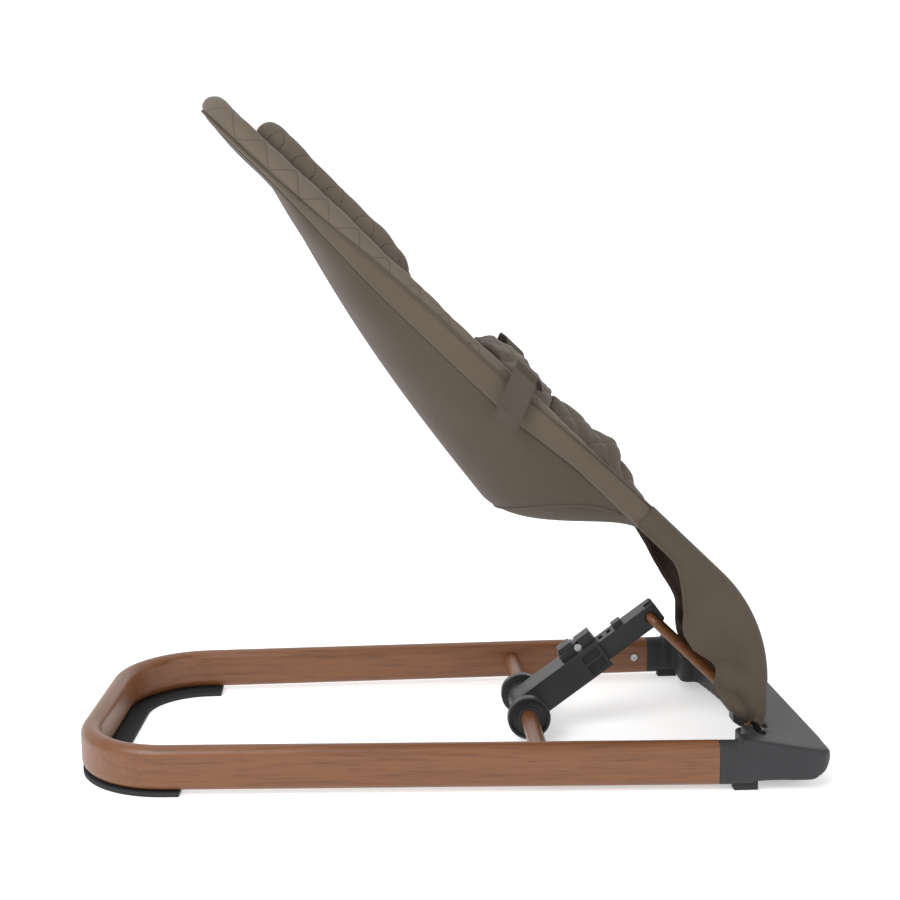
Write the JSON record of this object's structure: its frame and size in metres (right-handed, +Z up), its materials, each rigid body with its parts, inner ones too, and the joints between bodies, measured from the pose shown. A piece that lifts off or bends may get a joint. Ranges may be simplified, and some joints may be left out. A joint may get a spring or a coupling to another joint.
{
  "type": "bouncer seat",
  "caption": "Infant bouncer: quilted fabric sling on a bent tube frame, hinged on a low U-shaped base and held by a telescopic three-step arm.",
  "frame": {"origin": "on the floor, under the middle of the part's bounding box", "axes": "+Z up, +X towards the foot end, +Y across the seat to the sitter's left"},
  "size_m": [0.78, 0.4162, 0.6988],
  "materials": {
    "wood_look": "satin",
    "housing_plastic": "satin",
    "black_plastic": "matte",
    "foot_rubber": "matte",
    "steel": "polished",
    "fabric_body": "woven",
    "fabric_pad": "quilted",
    "webbing": "satin"
  },
  "bodies": {
    "base": {"base_rail": "wood_look", "rear_foot_strip": "foot_rubber", "front_housing": "housing_plastic", "housing_cover": "black_plastic", "cover_screws": "steel", "front_feet": "foot_rubber", "rail_screws": "steel", "lower_crossbar": "wood_look", "hinge_pins": "steel"},
    "recline_frame": {"support_bar": "wood_look", "hinge_knuckle_left": "black_plastic", "hinge_knuckle_right": "black_plastic"},
    "seat": {"seat_tube": "wood_look", "rim_casing": "fabric_pad", "seat_sling": "fabric_body", "quilted_liner": "fabric_pad", "newborn_inlay": "fabric_pad", "head_support": "fabric_pad", "front_apron": "fabric_body", "crotch_pad": "fabric_pad", "waist_band": "fabric_body", "waist_strap_left": "webbing", "waist_strap_right": "webbing"},
    "arm_outer": {"outer_arm": "black_plastic", "arm_flange_left": "black_plastic", "arm_flange_right": "black_plastic", "latch_housing": "black_plastic", "latch_spring": "steel", "latch_screw": "steel"},
    "arm_inner": {"inner_arm": "black_plastic", "arm_end_cap": "black_plastic"},
    "latch": {"latch_lever": "black_plastic"}
  },
  "joints": [
    {"name": "seat_recline", "type": "hinge", "parent": "base", "child": "recline_frame", "pos_m": [0.322, 0, 0.05], "axis": [0, -1, 0], "range_deg": [0, 12]},
    {"name": "seat_bounce", "type": "hinge", "parent": "recline_frame", "child": "seat", "pos_m": [0.322, 0, 0.05], "axis": [0, -1, 0], "range_deg": [-2.5, 2.5], "stiffness_Nm_per_rad": 900},
    {"name": "arm_swing", "type": "hinge", "parent": "base", "child": "arm_outer", "pos_m": [0.0955, 0, 0.028], "axis": [0, -1, 0], "range_deg": [-2.6, 0]},
    {"name": "arm_slide", "type": "slide", "parent": "arm_outer", "child": "arm_inner", "axis": [0.807, 0, 0.5906], "range_m": [-0.024, 0]},
    {"name": "latch_press", "type": "hinge", "parent": "arm_outer", "child": "latch", "pos_m": [0.15468, 0, 0.09783], "axis": [0, -1, 0], "range_deg": [0, 7], "stiffness_Nm_per_rad": 1.2, "springref_deg": -1.72}
  ],
  "couplings": [
    {"joint": "arm_swing", "follows": "seat_recline", "ratio": -0.194},
    {"joint": "arm_slide", "follows": "seat_recline", "m_per_rad": -0.1127}
  ]
}
